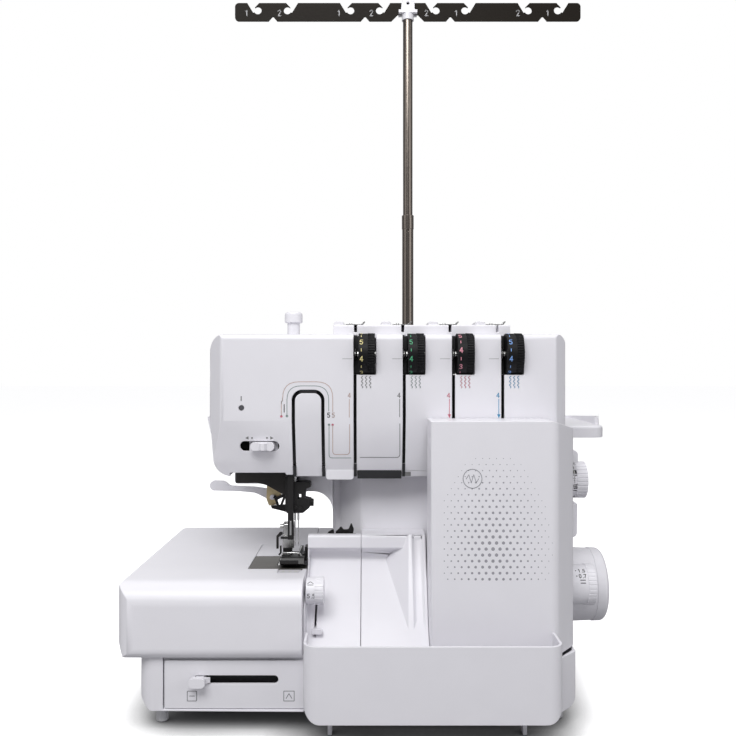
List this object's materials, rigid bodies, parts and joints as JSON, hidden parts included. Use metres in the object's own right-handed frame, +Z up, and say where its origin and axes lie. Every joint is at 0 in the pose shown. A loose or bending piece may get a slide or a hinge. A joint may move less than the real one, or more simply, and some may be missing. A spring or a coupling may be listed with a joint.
{
  "type": "serger overlock machine",
  "caption": "White domestic overlock sewing machine with tension dials, hinged looper cover, trim bin, bed extension, spool stand and telescopic thread tree.",
  "frame": {"origin": "centre of the footprint's bounding box, on the plane the feet stand on", "axes": "+X to the operator's right, +Y away from the operator, +Z up along the thread mast"},
  "size_m": [0.4424, 0.332, 0.674],
  "materials": {
    "white_shell": "satin white moulding",
    "bin_white": "satin white moulding, slightly translucent",
    "black_plastic": "satin black",
    "grey_plastic": "satin grey",
    "steel": "ground steel",
    "dark_steel": "dark ground steel",
    "blackened_steel": "chemically blackened",
    "chrome": "polished",
    "pole_metal": "dark nickel plated tube",
    "tree_metal": "dark bronze plated sheet",
    "cast_metal": "die cast, as cast",
    "brass": "yellow passivated",
    "rubber": "moulded light grey rubber",
    "belt": "moulded belt",
    "lamp_lens": "smoked lens",
    "dial_black": "gloss black"
  },
  "bodies": {
    "machine": {"base_tray": "white_shell", "front_lower_panel": "white_shell", "feet": "rubber", "rear_bed_cover": "white_shell", "arm_shell": "white_shell", "needle_plate": "dark_steel", "knife_guard": "white_shell", "column_shell": "white_shell", "rear_cover": "white_shell", "head_cover": "white_shell", "thread_channels": "black_plastic", "top_guide_block": "white_shell", "wire_guides": "steel", "status_lamp": "lamp_lens", "thread_cutter": "white_shell", "lever_bracket": "brass", "presser_bracket": "dark_steel", "motor": "cast_metal", "drive_belt": "belt", "frame_casting": "cast_metal", "power_inlet": "black_plastic", "spool_stand": "white_shell", "spool_pins": "grey_plastic", "pole_lower": "pole_metal", "tension_units": "steel"},
    "bed": {"bed_extension": "white_shell"},
    "mode_lever": {"slide_lever": "white_shell"},
    "bin": {"trim_bin": "bin_white"},
    "cover_slide": {"cover_hinge_pin": "steel"},
    "front_cover": {"looper_cover": "white_shell", "chute_wing": "white_shell"},
    "feed": {"feed_dogs": "steel"},
    "looper_lower": {"lower_looper": "chrome"},
    "looper_upper": {"upper_looper": "chrome"},
    "knife": {"upper_knife": "blackened_steel"},
    "needle_unit": {"needle_bar": "steel", "needle_clamp": "blackened_steel", "needles": "chrome"},
    "threader": {"needle_threader": "blackened_steel"},
    "presser": {"presser_bar": "steel", "foot_holder": "steel", "presser_foot": "blackened_steel"},
    "presser_handle": {"presser_lever": "white_shell"},
    "shaft": {"main_shaft": "steel", "handwheel": "white_shell"},
    "rotor": {"motor_pulley": "steel"},
    "switch": {"power_switch": "black_plastic"},
    "length_dial": {"stitch_length_dial": "white_shell"},
    "differential_dial": {"feed_dial": "white_shell"},
    "cutting_dial": {"width_dial": "white_shell"},
    "finger": {"finger_lever": "white_shell"},
    "pressure_knob": {"pressure_screw": "white_shell"},
    "needle_selector": {"needle_switch": "white_shell"},
    "dial_1": {"tension_dial_1": "dial_black"},
    "dial_2": {"tension_dial_2": "dial_black"},
    "dial_3": {"tension_dial_3": "dial_black"},
    "dial_4": {"tension_dial_4": "dial_black"},
    "mast": {"pole_upper": "pole_metal"},
    "tree": {"thread_tree": "tree_metal", "tree_bracket": "white_shell"}
  },
  "joints": [
    {"name": "bed_slide", "type": "slide", "parent": "machine", "child": "bed", "axis": [-1, 0, 0], "range_m": [0, 0.15]},
    {"name": "mode_slide", "type": "slide", "parent": "machine", "child": "mode_lever", "axis": [1, 0, 0], "range_m": [0, 0.058]},
    {"name": "bin_slide", "type": "slide", "parent": "machine", "child": "bin", "axis": [0, -1, 0], "range_m": [0, 0.06]},
    {"name": "cover_shift", "type": "slide", "parent": "machine", "child": "cover_slide", "axis": [1, 0, 0], "range_m": [0, 0.006]},
    {"name": "cover_tilt", "type": "hinge", "parent": "cover_slide", "child": "front_cover", "pos_m": [0.04225, -0.1235, 0.086], "axis": [1, 0, 0], "range_deg": [0, 65]},
    {"name": "needle_stroke", "type": "slide", "parent": "machine", "child": "needle_unit", "axis": [0, 0, 1], "range_m": [-0.024, 0]},
    {"name": "feed_stroke", "type": "slide", "parent": "machine", "child": "feed", "axis": [0, 1, 0], "range_m": [-0.0018, 0]},
    {"name": "knife_stroke", "type": "slide", "parent": "machine", "child": "knife", "axis": [0, 0, 1], "range_m": [-0.006, 0]},
    {"name": "lower_looper_swing", "type": "hinge", "parent": "machine", "child": "looper_lower", "pos_m": [-0.10875, -0.052, 0.072], "axis": [0, 1, 0], "range_deg": [0, 20]},
    {"name": "upper_looper_swing", "type": "hinge", "parent": "machine", "child": "looper_upper", "pos_m": [-0.07775, -0.038, 0.072], "axis": [0, -1, 0], "range_deg": [0, 16]},
    {"name": "threader_swing", "type": "hinge", "parent": "machine", "child": "threader", "pos_m": [-0.08585, -0.0692, 0.2], "axis": [0, 0, 1], "range_deg": [0, 60]},
    {"name": "presser_lift", "type": "hinge", "parent": "machine", "child": "presser_handle", "pos_m": [-0.11175, 0.016, 0.165], "axis": [0, 1, 0], "range_deg": [0, 45]},
    {"name": "presser_rise", "type": "slide", "parent": "machine", "child": "presser", "axis": [0, 0, 1], "range_m": [0, 0.006]},
    {"name": "handwheel_turn", "type": "hinge", "parent": "machine", "child": "shaft", "pos_m": [0.15425, -0.014, 0.0875], "axis": [1, 0, 0], "continuous": true},
    {"name": "motor_turn", "type": "hinge", "parent": "machine", "child": "rotor", "pos_m": [0.09825, 0.056, 0.058], "axis": [1, 0, 0], "continuous": true},
    {"name": "switch_rock", "type": "hinge", "parent": "machine", "child": "switch", "pos_m": [0.15175, 0.002, 0.16], "axis": [0, 1, 0], "range_deg": [0, 8]},
    {"name": "stitch_length_turn", "type": "hinge", "parent": "machine", "child": "length_dial", "pos_m": [0.15875, -0.049, 0.191], "axis": [1, 0, 0], "range_deg": [-120, 120]},
    {"name": "feed_ratio_turn", "type": "hinge", "parent": "machine", "child": "differential_dial", "pos_m": [0.15485, -0.067, 0.101], "axis": [1, 0, 0], "range_deg": [-120, 120]},
    {"name": "cutting_width_turn", "type": "hinge", "parent": "machine", "child": "cutting_dial", "pos_m": [-0.06875, -0.109, 0.107], "axis": [1, 0, 0], "range_deg": [-100, 100]},
    {"name": "pressure_turn", "type": "hinge", "parent": "machine", "child": "pressure_knob", "pos_m": [-0.08555, -0.044, 0.333], "axis": [0, 0, 1], "range_deg": [-170, 170]},
    {"name": "needle_select", "type": "slide", "parent": "machine", "child": "needle_selector", "axis": [1, 0, 0], "range_m": [-0.009, 0.0025]},
    {"name": "tension_1_turn", "type": "hinge", "parent": "machine", "child": "dial_1", "pos_m": [-0.02585, -0.0813, 0.304], "axis": [1, 0, 0], "range_deg": [-140, 140]},
    {"name": "tension_2_turn", "type": "hinge", "parent": "machine", "child": "dial_2", "pos_m": [0.01635, -0.0813, 0.304], "axis": [1, 0, 0], "range_deg": [-140, 140]},
    {"name": "tension_3_turn", "type": "hinge", "parent": "machine", "child": "dial_3", "pos_m": [0.05855, -0.0813, 0.304], "axis": [1, 0, 0], "range_deg": [-140, 140]},
    {"name": "tension_4_turn", "type": "hinge", "parent": "machine", "child": "dial_4", "pos_m": [0.10075, -0.0813, 0.304], "axis": [1, 0, 0], "range_deg": [-140, 140]},
    {"name": "finger_slide", "type": "slide", "parent": "machine", "child": "finger", "axis": [0, 0.7018, 0.7124], "range_m": [0, 0.016]},
    {"name": "mast_slide", "type": "slide", "parent": "machine", "child": "mast", "axis": [0, 0, 1], "range_m": [-0.2, 0]},
    {"name": "tree_turn", "type": "hinge", "parent": "mast", "child": "tree", "pos_m": [0.02325, 0.051, 0.655], "axis": [0, 0, 1], "range_deg": [-90, 90]}
  ],
  "couplings": [
    {"joint": "feed_stroke", "follows": "needle_stroke", "ratio": 0.075},
    {"joint": "knife_stroke", "follows": "needle_stroke", "ratio": 0.25},
    {"joint": "lower_looper_swing", "follows": "needle_stroke", "rad_per_m": -14.544},
    {"joint": "upper_looper_swing", "follows": "needle_stroke", "rad_per_m": -11.636},
    {"joint": "presser_lift", "follows": "presser_rise", "rad_per_m": 130.9},
    {"joint": "motor_turn", "follows": "handwheel_turn", "ratio": 2.4634}
  ]
}
